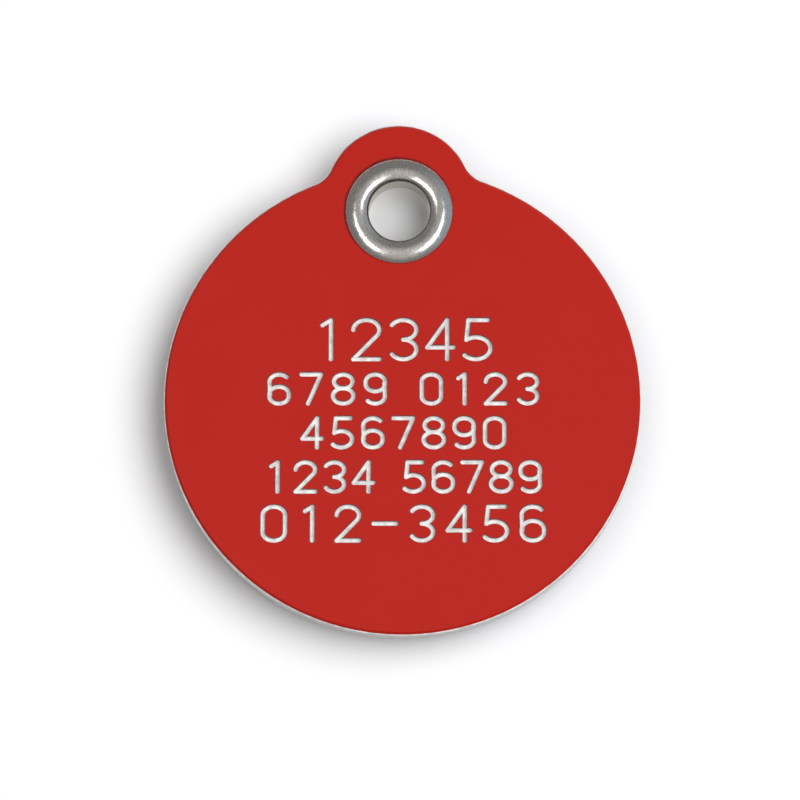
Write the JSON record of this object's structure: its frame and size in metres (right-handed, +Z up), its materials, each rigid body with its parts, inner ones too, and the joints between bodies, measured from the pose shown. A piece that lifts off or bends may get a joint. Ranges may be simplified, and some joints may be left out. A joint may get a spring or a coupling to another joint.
{
  "type": "pet id tag",
  "caption": "Flat round pet identity tag of laminated engraving sheet, with an ear at the top and a plated metal eyelet through which it hangs from a collar ring.",
  "frame": {"origin": "on the axis of the eyelet's bore, halfway through the laminate", "axes": "+Z up as the tag hangs, from the disc towards the ear; -Y out of the engraved front face; +X to the reader's right"},
  "size_m": [0.0318, 0.0026, 0.0347],
  "materials": {
    "red_cap": "satin red cap of engraving laminate",
    "white_core": "matt white core, bared by the engraving and at the cut edge",
    "nickel_plate": "bright nickel plate on drawn brass, lightly scuffed"
  },
  "bodies": {
    "root": {"front_cap": "red_cap", "core_sheet": "white_core", "rear_cap": "red_cap", "eyelet": "nickel_plate"}
  },
  "joints": []
}
